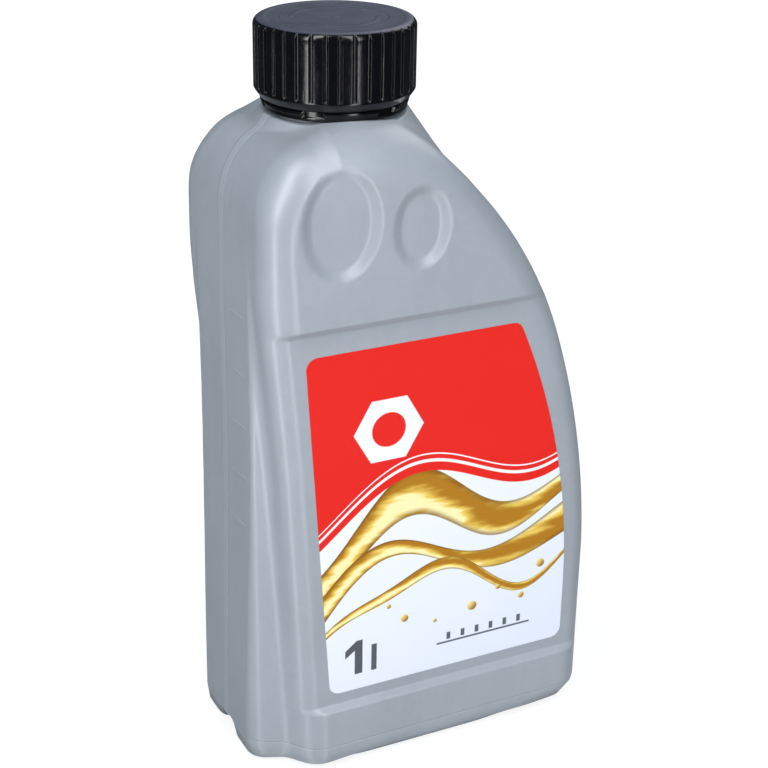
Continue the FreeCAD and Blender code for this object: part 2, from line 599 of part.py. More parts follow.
def make_cap():
    """Screw cap: a turned cup with flutes cut between its ribs, and a plain ring under them."""
    body, turned = revolved("Cap", [
        (CAP_INSIDE, CAP_BOTTOM),
        ("Dims.cap_radius - Dims.cap_edge_chamfer", CAP_BOTTOM),
        ("Dims.cap_radius", CAP_BOTTOM + " + Dims.cap_edge_chamfer"),
        ("Dims.cap_radius", CAP_TOP + " - Dims.cap_rim"),
        ("Dims.cap_radius - Dims.cap_rim_step", CAP_TOP + " - Dims.cap_rim_step"),
        ("Dims.cap_radius - Dims.cap_rim", CAP_TOP),
        ("0", CAP_TOP),
        ("0", CEILING),
        (CAP_INSIDE, CEILING),
    ])
    sketch = new_sketch(body, "FlutePlan", "XY_Plane")
    bind(sketch, AttachmentOffset__Base__z=CAP_BOTTOM + " + Dims.cap_ring_height")
    # a vee whose mouth lies twice the flute's depth outside its root
    root_x = val("cap_radius") - val("flute_depth")
    mouth_x = val("cap_radius") + val("flute_depth")
    root = FreeCAD.Vector(root_x, 0, 0)
    near = FreeCAD.Vector(mouth_x, -val("flute_width"), 0)
    far = FreeCAD.Vector(mouth_x, val("flute_width"), 0)
    for first, second in ((root, near), (near, far), (far, root)):
        sketch.addGeometry(Part.LineSegment(first, second))
    for index in range(3):
        sketch.addConstraint(Sketcher.Constraint("Coincident", index, 2, (index + 1) % 3, 1))
    sketch.addConstraint(Sketcher.Constraint("PointOnObject", 0, 1, -1))
    sketch.addConstraint(Sketcher.Constraint("Symmetric", 1, 1, 1, 2, -1))
    named(sketch, Sketcher.Constraint("DistanceX", -1, 1, 0, 1, root_x), "flute_root",
          "Dims.cap_radius - Dims.flute_depth")
    named(sketch, Sketcher.Constraint("DistanceX", -1, 1, 1, 1, mouth_x), "flute_mouth",
          "Dims.cap_radius + Dims.flute_depth")
    named(sketch, Sketcher.Constraint("DistanceY", 1, 1, 1, 2, 2 * val("flute_width")), "flute_width",
          "2 * Dims.flute_width")
    flute = body.newObject("PartDesign::Pocket", "Flute")
    flute.Profile = sketch
    flute.Reversed = True
    bind(flute, Length="Dims.cap_height")
    doc.recompute()
    if flute.Shape.Volume > turned.Shape.Volume - 1.0:
        raise RuntimeError("the flute cuts nothing")
    pattern = body.newObject("PartDesign::PolarPattern", "Flutes")
    pattern.Originals = [flute]
    pattern.Axis = (sketch, ["N_Axis"])
    pattern.Angle = 360
    pattern.Occurrences = FLUTES
    body.Tip = pattern
    doc.recompute()
    body.Label = "cap"
    return body


def make_liner():
    """Sealing disc under the cap's lid."""
    liner = cylinder("Liner", CAP_INSIDE + " - Dims.liner_clearance", LINER_BOTTOM, LINER_TOP)
    liner.Label = "cap_liner"
    return liner


def make_label():
    """Label on the front panel: straight left, top and bottom edges, and a bowed right edge."""
    body = doc.addObject("PartDesign::Body", "LabelBody")
    sketch = new_sketch(body, "LabelOutline", "XZ_Plane")
    bottom, top = val("label_bottom"), val("label_top")
    lower_left = FreeCAD.Vector(-val("label_left_bottom"), bottom, 0)
    lower_right = FreeCAD.Vector(val("label_right"), bottom, 0)
    straight = FreeCAD.Vector(val("label_right"), val("label_right_straight"), 0)
    upper_right = FreeCAD.Vector(val("label_right_top"), top, 0)
    upper_left = FreeCAD.Vector(-val("label_left_top"), top, 0)
    # the bowed edge leaves the upright edge without a corner
    rise = top - straight.y
    shift = straight.x - upper_right.x
    radius = (rise * rise + shift * shift) / (2 * shift)
    circle = Part.Circle(straight - FreeCAD.Vector(radius, 0, 0), FreeCAD.Vector(0, 0, 1), radius)
    sketch.addGeometry(Part.LineSegment(lower_left, lower_right))
    sketch.addGeometry(Part.LineSegment(lower_right, straight))
    sketch.addGeometry(Part.ArcOfCircle(circle, 0, math.asin(rise / radius)))
    sketch.addGeometry(Part.LineSegment(upper_right, upper_left))
    sketch.addGeometry(Part.LineSegment(upper_left, lower_left))
    foot, side, bow, head, lean = range(5)
    for first, second in ((foot, side), (bow, head), (head, lean), (lean, foot)):
        sketch.addConstraint(Sketcher.Constraint("Coincident", first, 2, second, 1))
    sketch.addConstraint(Sketcher.Constraint("Tangent", side, 2, bow, 1))
    sketch.addConstraint(Sketcher.Constraint("Horizontal", foot))
    sketch.addConstraint(Sketcher.Constraint("Horizontal", head))
    sketch.addConstraint(Sketcher.Constraint("Vertical", side))
    named(sketch, Sketcher.Constraint("DistanceY", -1, 1, foot, 1, bottom), "low", "Dims.label_bottom")
    named(sketch, Sketcher.Constraint("DistanceY", -1, 1, head, 1, top), "high", "Dims.label_top")
    named(sketch, Sketcher.Constraint("DistanceX", foot, 1, -1, 1, -lower_left.x), "left_low",
          "Dims.label_left_bottom")
    named(sketch, Sketcher.Constraint("DistanceX", head, 2, -1, 1, -upper_left.x), "left_high",
          "Dims.label_left_top")
    named(sketch, Sketcher.Constraint("DistanceX", -1, 1, foot, 2, lower_right.x), "right_low",
          "Dims.label_right")
    named(sketch, Sketcher.Constraint("DistanceX", -1, 1, head, 1, upper_right.x), "right_high",
          "Dims.label_right_top")
    named(sketch, Sketcher.Constraint("DistanceY", -1, 1, side, 2, straight.y), "straight",
          "Dims.label_right_straight")
    pad = body.newObject("PartDesign::Pad", "LabelSheet")
    pad.Profile = sketch
    bind(pad, Length="Dims.label_thickness")
    doc.recompute()
    uprights = []
    for index, edge in enumerate(pad.Shape.Edges, start=1):
        ends = [vertex.Point for vertex in edge.Vertexes]
        if len(ends) == 2 and abs(ends[0].x - ends[1].x) < TOUCH and abs(ends[0].z - ends[1].z) < TOUCH:
            if abs(ends[0].z - straight.y) > TOUCH:
                uprights.append(f"Edge{index}")
    fillet(body, "LabelCorners", pad, uprights, "Dims.label_corner")
    body.Label = "front_label"
    bind(body, Placement__Base__y="-" + PANEL_HALF)
    return body


parts = [make_bottle(), make_band(), make_cap(), make_liner(), make_label()]
# the origin lies under the middle of the whole bottle, on the floor
for part in parts:
    bind(part, Placement__Base__x=f"({RIB_REACH} - Dims.right_x) / 2")
doc.recompute()

for obj in doc.Objects:
    if "Invalid" in obj.State or "Error" in obj.State:
        raise RuntimeError(f"{obj.Name} failed: {obj.State}")
for part in parts:
    shape = part.Shape
    if shape.isNull() or not shape.isValid():
        raise RuntimeError(f"{part.Label} has no valid shape")
    print(part.Label, "solids", len(shape.Solids), "volume", round(shape.Volume, 1),
          "box", [round(value, 2) for value in (shape.BoundBox.XMin, shape.BoundBox.XMax,
                                                shape.BoundBox.YMin, shape.BoundBox.YMax,
                                                shape.BoundBox.ZMin, shape.BoundBox.ZMax)])

os.makedirs("parts", exist_ok=True)
for part in parts:
    part.Shape.exportStep(f"parts/{part.Label}.step")
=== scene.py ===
import math

import bpy
import numpy as np
from mathutils import Matrix, Vector


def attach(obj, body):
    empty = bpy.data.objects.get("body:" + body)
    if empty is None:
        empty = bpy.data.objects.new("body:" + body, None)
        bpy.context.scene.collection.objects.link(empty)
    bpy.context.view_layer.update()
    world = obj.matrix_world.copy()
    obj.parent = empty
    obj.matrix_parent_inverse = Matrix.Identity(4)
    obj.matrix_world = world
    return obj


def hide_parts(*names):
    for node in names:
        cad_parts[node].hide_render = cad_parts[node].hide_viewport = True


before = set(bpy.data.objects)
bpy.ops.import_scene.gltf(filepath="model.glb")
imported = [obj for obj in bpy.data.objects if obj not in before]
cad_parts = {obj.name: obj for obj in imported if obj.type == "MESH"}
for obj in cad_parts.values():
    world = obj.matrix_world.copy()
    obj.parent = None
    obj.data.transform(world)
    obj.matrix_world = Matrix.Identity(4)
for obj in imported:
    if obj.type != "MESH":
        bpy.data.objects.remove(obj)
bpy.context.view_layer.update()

# Lengths below are in millimetres from the neck's axis, as in the part's source.
# The neck's axis stands this far from the frame's origin.
NECK_X = -19.10125
MM = 0.001

# bottle
WALL = 0.9
PANEL_BOTTOM = 21.5
PANEL_TOP = 146.0
BLOCK_HALF_DEPTH = 33.49
PANEL_HALF_DEPTH = 31.5
RIGHT_END = 75.18
RIDGE = 0.2
BASE_Z = 0.02
SHOULDER_TOP = 199.3
NECK_RADIUS = 18.3
NECK_TOP = 221.2
NECK_FOOT = SHOULDER_TOP + 0.1
BORE_RADIUS = 16.6
THREAD_PITCH = 4.0

# cap, tamper band and sealing disc
CAP_BOTTOM = 203.25
CAP_TOP = 225.0
CAP_RADIUS = 22.75
CAP_INSIDE = 19.7
CAP_ROUNDING = 2.0
LID_FACE = CAP_TOP - 0.12
LID_BOTTOM = 222.9
FLUTES = 36
FLUTE_DEPTH = 0.72
FLUTE_BOTTOM = 206.2
BAND_BOTTOM = 200.4
BAND_TOP = 203.0
BAND_RADIUS = 20.8
WINDOWS = 6
WINDOW_BOTTOM = 201.55
LINER_BOTTOM = 221.37
LINER_TOP = 222.84
LINER_RADIUS = 19.18


def new_object(name, points, faces, normals=None):
    """A mesh object from points in millimetres about the neck's axis."""
    points = np.asarray(points, float)
    placed = (points + np.array([NECK_X, 0.0, 0.0])) * MM
    mesh = bpy.data.meshes.new(name)
    mesh.from_pydata(placed.tolist(), [], faces)
    mesh.update()
    mesh.shade_smooth()
    if normals is not None:
        mesh.normals_split_custom_set_from_vertices(normals.tolist())
    obj = bpy.data.objects.new(name, mesh)
    bpy.context.scene.collection.objects.link(obj)
    return obj


def grid_faces(rows, columns, flip=False):
    """Quads between rings of points that follow each other."""
    faces = []
    for i in range(rows - 1):
        for j in range(columns):
            k = (j + 1) % columns
            a, b = i * columns + j, i * columns + k
            c, d = b + columns, a + columns
            faces.append((d, c, b, a) if flip else (a, b, c, d))
    return faces


def ring_points(radius, height, angles):
    """A level ring of points about the neck's axis; the radius may change round it."""
    across, ahead = radius * np.cos(angles), radius * np.sin(angles)
    return np.stack([across, ahead, np.full_like(angles, height)], axis=-1)


def smoothstep(low, high, value):
    t = np.clip((value - low) / (high - low), 0.0, 1.0)
    return t * t * (3.0 - 2.0 * t)


def rounded(a, b, radius):
    """Where two faces meet, an edge of the given radius."""
    p = a + radius
    q = b + radius
    inner = np.minimum(np.maximum(p, q), 0.0)
    return inner + np.hypot(np.maximum(p, 0.0), np.maximum(q, 0.0)) - radius


def joined(a, b, blend):
    """Two forms joined with a soft hollow between them."""
    h = np.maximum(blend - np.abs(a - b), 0.0) / blend
    return np.minimum(a, b) - h * h * blend * 0.25


# arcs of the front outline: the slope under the neck, the right end and the left shoulder
HIGH_CENTRE = (-61.67, 89.3)
HIGH_RADIUS = 130.0
LOW_CENTRE = (-184.6, 47.0)
LOW_RADIUS = 260.0
BEND_CENTRE = (-9.6, 175.6)
BEND_RADIUS = 25.3
# how soft the corners are that these arcs make with the flat top
BEND_SOFTNESS = 7.0
SLOPE_SOFTNESS = 10.0
# the slab's left edge: heights, and where the edge lies at each of them
LEFT_HEIGHTS = np.array([0.0, 20.0, 50.0, 80.0, 100.0, 115.0,
                         130.0, 145.0, 157.0, 168.0, 176.0, 260.0])
LEFT_EDGE = np.array([-25.2, -25.9, -27.3, -29.0, -30.2, -31.4,
                      -32.8, -34.2, -34.9, -34.9, -34.9, -34.9])


def left_edge(z):
    """The slab's left edge: upright at the shoulder, then a soft bend inwards."""
    slopes = np.gradient(LEFT_EDGE, LEFT_HEIGHTS)
    z = np.clip(z, LEFT_HEIGHTS[0], LEFT_HEIGHTS[-1] - 1.0)
    k = np.clip(np.searchsorted(LEFT_HEIGHTS, z, side="right") - 1, 0, len(LEFT_EDGE) - 2)
    span = LEFT_HEIGHTS[k + 1] - LEFT_HEIGHTS[k]
    t = (z - LEFT_HEIGHTS[k]) / span
    return ((2 * t ** 3 - 3 * t ** 2 + 1) * LEFT_EDGE[k]
            + (t ** 3 - 2 * t ** 2 + t) * span * slopes[k]
            + (3 * t ** 2 - 2 * t ** 3) * LEFT_EDGE[k + 1]
            + (t ** 3 - t ** 2) * span * slopes[k + 1])


def from_circle(x, z, centre, radius):
    """Distance to a circle in the front view, and the direction from its centre in degrees."""
    angle = np.degrees(np.arctan2(z - centre[1], x - centre[0]))
    angle = np.where(angle < -90.0, angle + 360.0, angle)
    return np.hypot(x - centre[0], z - centre[1]) - radius, angle


def outline(x, z):
    """Distance to the front outline: left edge, shoulder, top, slope and right end."""
    top = z - SHOULDER_TOP
    # each arc counts only in its own sector; the two on the right overlap a little
    bend, angle = from_circle(x, z, BEND_CENTRE, BEND_RADIUS)
    soft = 0.01 + BEND_SOFTNESS * (1.0 - smoothstep(-19.0, -9.6, x))
    top = np.where((angle > 90.0) & (angle < 180.0), -joined(-top, -bend, soft), top)
    slope, angle = from_circle(x, z, HIGH_CENTRE, HIGH_RADIUS)
    top = np.where((angle > 18.7) & (angle < 70.0), -joined(-top, -slope, SLOPE_SOFTNESS), top)
    low, angle = from_circle(x, z, LOW_CENTRE, LOW_RADIUS)
    end = np.where((angle > 0.0) & (angle < 19.3), np.maximum(x - RIGHT_END, low), x - RIGHT_END)
    return np.maximum(np.maximum(top, end), left_edge(z) - x)


# finger dimples: centre, half width and half height
DIMPLES = ((-12.9, 176.2, 12.0, 16.2), (11.4, 172.5, 9.1, 12.2))
DIMPLE_DEPTH = 1.3


def dimple_drop(x, z):
    """How far the finger dimples sink the front and back faces."""
    drop = np.zeros_like(x)
    for cx, cz, half_width, half_height in DIMPLES:
        u = (x - cx) / half_width
        v = (z - cz) / half_height
        reach = np.hypot(u, v)
        edge = (reach - 1.0) * np.hypot(half_width * u, half_height * v) / np.maximum(reach, 1e-3)
        # the sloping border runs evenly all round, though on the real bottle it fades out at the
        # lower left
        drop = np.maximum(drop, DIMPLE_DEPTH * (1.0 - smoothstep(-3.6, 0.6, edge)))
    return drop


# the upright rib on the left end: its face and how far that leans in, and its rounded edges
RIB_FACE = -36.98
RIB_LEAN = 1.88
RIB_HALF = 20.2
RIB_TOP = 176.0
RIB_ROOT = -20.0
RIB_EDGE_FOOT = 7.5
RIB_EDGE_LOSS = 5.3
RIB_SOLE = 4.2
FLANK = math.radians(25.4)
# the slab's rounded edges: at the panels, what shoulder and foot add, and at the base
PANEL_EDGE = 6.8
BLOCK_EDGE_MORE = 2.7
SLAB_SOLE = 6.0
# the neck's cone: where it bends, and how far its foot drops, draws in and moves right
CONE_BEND = 182.3
CONE_RADIUS = 33.0
CONE_SLOPE = 12.0 / 17.1
CONE_FOOT_DROP = 14.3
CONE_FOOT_INSET = 4.5
CONE_FOOT_X = 9.0
# the channel across the base
CHANNEL_RADIUS = 24.0
CHANNEL_DEPTH = 2.6


def rib_plan(x, y, z):
    """Distance to the end rib's upright sides: a leaning face and two flanks, rounded edges."""
    ay = np.abs(y)
    rise = smoothstep(0.0, 110.0, z)
    face_x = RIB_FACE + RIB_LEAN * rise + 0.6 * smoothstep(148.0, 172.0, z)
    radius = RIB_EDGE_FOOT - RIB_EDGE_LOSS * rise
    normal = (-math.sin(FLANK), math.cos(FLANK))
    flank = normal[0] * (x - face_x) + normal[1] * (ay - RIB_HALF)
    # the centre of the rounded edge lies one radius inside both faces
    cx = face_x + radius
    cy = RIB_HALF + (-radius - normal[0] * radius) / normal[1]
    turn = np.arctan2(ay - cy, x - cx)
    flank_turn = math.atan2(normal[1], normal[0])
    corner = np.hypot(x - cx, ay - cy) - radius
    plain = np.maximum(face_x - x, flank)
    return np.where((turn > flank_turn) & (x < cx), corner, plain)


def body_field(x, y, z):
    """The closed form of the bottle, without its neck."""
    ay = np.abs(y)
    block = smoothstep(PANEL_TOP - 1.5, PANEL_TOP + 1.3, z)
    block = block + 1.0 - smoothstep(PANEL_BOTTOM - 1.1, PANEL_BOTTOM + 1.1, z)
    half_depth = PANEL_HALF_DEPTH + (BLOCK_HALF_DEPTH - PANEL_HALF_DEPTH) * block
    # the shoulder is crowned on the neck's left, more so at the back
    crown = smoothstep(170.0, 201.0, z) * (1.0 - smoothstep(5.0, 25.0, x))
    edge_radius = PANEL_EDGE + BLOCK_EDGE_MORE * block
    edge_radius = edge_radius + (4.0 + 7.5 * smoothstep(-8.0, 8.0, y)) * crown
    slab = rounded(outline(x, z), ay - half_depth + dimple_drop(x, z), edge_radius)
    sole = SLAB_SOLE - 2.0 * (1.0 - smoothstep(-25.0, 5.0, x)) + 3.5 * smoothstep(48.0, 74.0, x)
    low = BASE_Z - z
    slab = rounded(slab, low, sole)
    proud = np.clip((172.0 - z) * 0.0613, 0.05, 3.0)
    rib = rounded(rib_plan(x, y, z), low, RIB_SOLE)
    rib = np.maximum(np.maximum(rib, (z - RIB_TOP) * 0.5), x - RIB_ROOT)
    # the blend swells where both forms rest on the base, and is kept flat there
    form = np.maximum(joined(slab, rib, 1.2 * proud), low)
    # the neck's cone, steeper below its bend
    t = np.maximum(CONE_BEND - z, 0.0) / CONE_FOOT_DROP
    upper = CONE_RADIUS - (z - CONE_BEND) * CONE_SLOPE
    radius = np.where(z > CONE_BEND, upper, CONE_RADIUS - CONE_FOOT_INSET * t)
    # towards the front and the back the cone dives under the faces, where it is blended in
    radius = radius - 2.3 * (1.0 - smoothstep(183.0, 196.0, z)) * smoothstep(12.0, 26.0, ay)
    # across a sloping side the level distance is longer than the true one
    cone = (np.hypot(x - CONE_FOOT_X * t, y) - radius) * 0.84
    cone = np.maximum(cone, z - NECK_FOOT)
    soft = np.maximum(smoothstep(0.0, 24.0, x), smoothstep(9.0, 22.0, ay))
    form = joined(form, cone, 0.6 + 3.2 * soft + 6.0 * smoothstep(14.0, 26.0, ay))
    # nothing stands out of the front and back faces, so the dimples stay clear
    face = ay - half_depth + dimple_drop(x, z)
    blend = 0.01 + smoothstep(158.0, 168.0, z)
    form = -joined(-form, -face, blend)
    # the channel where the mould pinches the base shut
    channel = CHANNEL_RADIUS - np.hypot(y, z + CHANNEL_RADIUS - CHANNEL_DEPTH)
    form = -joined(-form, -channel, 1.2)
    # the parting line stands slightly proud all round
    return form - RIDGE * (1.0 - smoothstep(1.5, 2.1, ay))


RAY_LENGTH = 140.0
HALVINGS = 26
NORMAL_STEP = 0.06


def surface_point(origin, direction, inset=0.0):
    """The point where each ray leaves the form, found by halving."""
    low = np.zeros(direction.shape[:-1])
    high = np.full(direction.shape[:-1], RAY_LENGTH)
    for _ in range(HALVINGS):
        middle = 0.5 * (low + high)
        points = origin + direction * middle[..., None]
        inside = body_field(*np.moveaxis(points, -1, 0)) < -inset
        low = np.where(inside, middle, low)
        high = np.where(inside, high, middle)
    return origin + direction * high[..., None]


def field_normals(points):
    """Outward normals of the form."""
    parts = []
    for axis in range(3):
        shift = np.zeros(3)
        shift[axis] = NORMAL_STEP
        ahead = np.moveaxis(points + shift, -1, 0)
        behind = np.moveaxis(points - shift, -1, 0)
        parts.append(body_field(*ahead) - body_field(*behind))
    normals = np.stack(parts, axis=-1)
    return normals / np.maximum(np.linalg.norm(normals, axis=-1, keepdims=True), 1e-9)


# the bottle's core leans from here at the foot towards the neck
CORE_FOOT = 20.0
CORE_LEAN = 15.0
# at the ends the surface lies about this far from the core
END_REACH = 55.0


def column_angles(count):
    """Directions round the bottle, closer together at the parting line."""
    near = np.array([0.0, 0.8, 1.3, 1.5, 1.7, 1.9, 2.1, 2.6]) / END_REACH
    first = 3.4 / END_REACH
    middle = np.linspace(first, math.pi - first, count // 2 - 15)
    half = np.concatenate([near, middle, math.pi - near[::-1]])
    return np.concatenate([half, -half[-2:0:-1]])


def bottle_rays(angles, heights, foot_rows, top_rows):
    """Rays from the bottle's core, row by row, from the middle of the base to the neck."""
    origins, directions = [], []
    cos, sin = np.cos(angles), np.sin(angles)
    for tilt in np.linspace(-math.pi / 2 + 0.02, 0.0, foot_rows + 1)[:-1]:
        origins.append((CORE_FOOT, 0.0, heights[0]))
        directions.append(np.stack([cos * math.cos(tilt), sin * math.cos(tilt),
                                    np.full_like(cos, math.sin(tilt))], axis=-1))
    for z in heights:
        shift = smoothstep(60.0, 185.0, np.array(float(z)))
        origins.append((CORE_FOOT - CORE_LEAN * float(shift), 0.0, z))
        directions.append(np.stack([cos, sin, np.zeros_like(cos)], axis=-1))
    origins = np.array(origins)[:, None, :].repeat(len(angles), axis=1)
    directions = np.array(directions)
    # above the last height the rays go from its core to between its ring and the neck's foot
    core = origins[-1]
    last = surface_point(core, directions[-1])
    ring = ring_points(NECK_RADIUS, NECK_FOOT, angles)
    ways = []
    for t in np.linspace(0.0, 1.0, top_rows + 1)[1:]:
        way = last * (1.0 - t) + ring * t - core
        ways.append(way / np.linalg.norm(way, axis=-1, keepdims=True))
    top_origins = core[None].repeat(top_rows, axis=0)
    return np.concatenate([origins, top_origins]), np.concatenate([directions, np.array(ways)])


def lathe_rows(profile, angles):
    """Rings of points about the neck's axis, with their normals."""
    rings = [ring_points(r, z, angles) for r, z, across, up in profile]
    normals = [ring_points(across, up, angles) for r, z, across, up in profile]
    return np.array(rings), np.array(normals)


def profile_normal(start, end):
    """The outward direction of a profile's stretch from start to end."""
    along = (end - start) / max(np.linalg.norm(end - start), 1e-9)
    return np.array([along[1], -along[0]])


def turned_profile(corners):
    """Profile rows for a turned shape from (radius, height, rounding) corners."""
    rows = []
    count = len(corners)
    for index, (r, z, rounding) in enumerate(corners):
        before = np.array(corners[index - 1][:2]) if index else None
        after = np.array(corners[index + 1][:2]) if index + 1 < count else None
        here = np.array([r, z])
        if before is None:
            rows.append((r, z, *profile_normal(here, after)))
            continue
        if after is None:
            rows.append((r, z, *profile_normal(before, here)))
            continue
        first, second = profile_normal(before, here), profile_normal(here, after)
        into = (here - before) / np.linalg.norm(here - before)
        out = (after - here) / np.linalg.norm(after - here)
        bend = math.acos(float(np.clip(np.dot(into, out), -1.0, 1.0)))
        cut = rounding * math.tan(bend / 2.0)
        steps = 5 if rounding > 0.25 else 3
        start = here - into * cut
        end = here + out * cut
        for k in range(steps + 1):
            t = k / steps
            # a quadratic curve is close to the arc for these small roundings
            point = (1 - t) ** 2 * start + 2 * t * (1 - t) * here + t * t * end
            normal = (1 - t) * first + t * second
            normal = normal / max(np.linalg.norm(normal), 1e-9)
            rows.append((point[0], point[1], normal[0], normal[1]))
    return rows


def make_bottle():
    """The shell: outside, neck and bore in one run, then the inside, with custom normals."""
    angles = column_angles(384)
    columns = len(angles)
    # the rows lie close together over both ledges; below the first they fan out to the base
    heights = np.concatenate([
        np.arange(7.0, 19.0, 1.7),
        np.arange(19.4, 23.8, 0.4),
        np.arange(24.4, 27.5, 1.2),
        np.arange(28.0, 143.0, 2.3),
        np.arange(143.6, 148.6, 0.4),
        np.arange(149.5, 158.0, 1.5),
        np.arange(158.8, 184.1, 0.95),
    ])
    origins, directions = bottle_rays(angles, heights, 18, 46)
    outer = surface_point(origins, directions)
    outer_normals = field_normals(outer)
    neck = turned_profile([
        (NECK_RADIUS, SHOULDER_TOP + 0.12, 0.0),
        (NECK_RADIUS, 201.35, 0.15),
        (19.3, 201.4, 0.12),
        (19.3, 202.5, 0.15),
        (NECK_RADIUS, 203.7, 0.3),
        (NECK_RADIUS, NECK_TOP, 0.35),
        (BORE_RADIUS, NECK_TOP, 0.35),
        (BORE_RADIUS, 197.0, 0.0),
    ])
    neck_points, neck_normals = lathe_rows(neck, angles)
    inner_origins, inner_directions = bottle_rays(angles, heights[::3], 8, 10)
    inner = surface_point(inner_origins, inner_directions, inset=WALL)[::-1]
    inner_normals = -field_normals(inner)
    rows = np.concatenate([outer, neck_points, inner[1:]])
    normals = np.concatenate([outer_normals, neck_normals, inner_normals[1:]])
    points = rows.reshape(-1, 3)
    count = len(points)
    faces = grid_faces(len(rows), columns)
    faces.append(tuple(reversed(range(columns))))
    faces.append(tuple(range(count - columns, count)))
    return new_object("bottle_shell", points, faces, normals.reshape(-1, 3))


def make_liner():
    """Sealing disc with a shallow groove where the neck's rim presses."""
    angles = np.linspace(0.0, 2.0 * math.pi, 192, endpoint=False)
    groove = LINER_BOTTOM + 0.13
    rings, normals = lathe_rows(turned_profile([
        (0.02, LINER_BOTTOM, 0.0), (16.4, LINER_BOTTOM, 0.15), (16.6, groove, 0.12),
        (18.2, groove, 0.12), (18.4, LINER_BOTTOM, 0.15), (LINER_RADIUS, LINER_BOTTOM, 0.2),
        (LINER_RADIUS, LINER_TOP, 0.2), (0.02, LINER_TOP, 0.0)]), angles)
    faces = grid_faces(len(rings), len(angles))
    return new_object("liner_disc", rings.reshape(-1, 3), faces, normals.reshape(-1, 3))


def flute_offsets():
    """Columns of one rib and one flute, in millimetres along the cap's rim."""
    half = CAP_RADIUS * math.pi / FLUTES
    steps = [0.0, 0.2, 0.32, 0.46, 0.6, 0.7, 0.8, 0.95, 1.35]
    return [-step for step in steps[:0:-1]] + steps + [half]


def make_cap():
    """Cup with flutes between its ribs, a plain tapered ring below them and a rounded rim."""
    angles, groove = [], []
    for index in range(FLUTES):
        for offset in flute_offsets():
            # all flutes are turned a little, as in the photo
            angles.append(2.0 * math.pi * index / FLUTES + offset / CAP_RADIUS - 0.02)
            groove.append(1.0 - float(smoothstep(0.24, 0.72, np.array(abs(offset)))))
    angles, groove = np.array(angles), np.array(groove)
    rim = [(CAP_RADIUS - CAP_ROUNDING + CAP_ROUNDING * math.sin(t),
            CAP_TOP - CAP_ROUNDING + CAP_ROUNDING * math.cos(t))
           for t in np.linspace(0.0, math.pi / 2.0, 11)]
    heights = (221.0, 215.0, 209.0, 206.9, 206.55, 206.35, FLUTE_BOTTOM, 206.0)
    side = [(CAP_RADIUS, z) for z in heights]
    outer = [(0.02, LID_FACE), (6.0, LID_FACE), (18.6, LID_FACE), (19.2, CAP_TOP - 0.1),
             (19.5, CAP_TOP - 0.03), (19.9, CAP_TOP), *rim, *side,
             (CAP_RADIUS - 0.03, 205.8), (CAP_RADIUS - 0.15, 205.55), (21.95, 204.6),
             (21.25, 203.7), (21.08, 203.45), (20.9, 203.3), (20.7, CAP_BOTTOM)]
    inner = [(CAP_INSIDE + 0.3, CAP_BOTTOM), (CAP_INSIDE + 0.08, CAP_BOTTOM + 0.08),
             (CAP_INSIDE, CAP_BOTTOM + 0.3), (CAP_INSIDE, 213.0), (CAP_INSIDE, LID_BOTTOM - 0.3),
             (CAP_INSIDE - 0.1, LID_BOTTOM - 0.05), (CAP_INSIDE - 0.4, LID_BOTTOM),
             (10.0, LID_BOTTOM), (0.02, LID_BOTTOM)]
    rows = []
    for r, z in outer:
        # the flutes fade out just above the plain ring
        share = float(smoothstep(FLUTE_BOTTOM, FLUTE_BOTTOM + 0.4, np.array(z)))
        root = CAP_RADIUS - FLUTE_DEPTH * groove * share
        radius = np.minimum(r, root) if z > FLUTE_BOTTOM else r
        rows.append(ring_points(radius, z, angles))
    rows += [ring_points(r, z, angles) for r, z in inner]
    faces = grid_faces(len(rows), len(angles), flip=True)
    return new_object("cap_shell", np.array(rows).reshape(-1, 3), faces)


def make_band():
    """Tamper band: windows in its upper edge, closed behind by a thin dark wall, a painted shade
    standing in for the dark inside of the cap.
    """
    # columns from a window's middle outwards, in millimetres along the band
    steps = [0.0, 0.7, 1.5, 2.2, 2.9, 3.0, 3.1, 3.3, 4.0, 4.8, 5.6, 6.4, 7.2, 8.0, 8.8, 9.6, 10.4]
    offsets = [-step for step in steps[:0:-1]] + steps + [math.pi / WINDOWS * BAND_RADIUS]
    angles, window = [], []
    for index in range(WINDOWS):
        # the first window lies a little to the right of the front
        centre = math.radians(-90.0 + 18.5 + 360.0 / WINDOWS * index)
        for offset in offsets:
            angles.append(centre + offset / BAND_RADIUS)
            window.append(1.0 - float(smoothstep(2.95, 3.15, np.array(abs(offset)))))
    order = np.argsort(angles)
    angles, window = np.array(angles)[order], np.array(window)[order]
    profile = [(18.9, 200.55), (18.9, BAND_BOTTOM), (19.1, BAND_BOTTOM), (20.25, BAND_BOTTOM),
               (20.42, 200.47), (20.5, 200.65), (20.55, 201.1), (20.62, 201.5), (20.64, 201.58),
               (20.8, 202.0), (21.02, 202.75), (21.0, 202.92), (20.85, BAND_TOP), (20.0, BAND_TOP),
               (19.8, BAND_TOP), (19.65, 202.95), (19.6, 202.8), (19.6, 201.9), (19.6, 201.15),
               (19.0, 201.12), (18.9, 201.0), (18.9, 200.55)]
    rows = []
    for r, z in profile:
        # the windows are closed by a thin dark wall of cap plastic: painted shade where the
        # through windows would show the dark inside
        shade_skin_radius = np.where((window > 0.5) & (z > WINDOW_BOTTOM), min(r, 19.95), r)
        rows.append(ring_points(shade_skin_radius, z, angles))
    faces = grid_faces(len(rows), len(angles))
    return new_object("band_ring", np.array(rows).reshape(-1, 3), faces)


THREAD_STEPS = 72
THREAD_FADE = 10.0


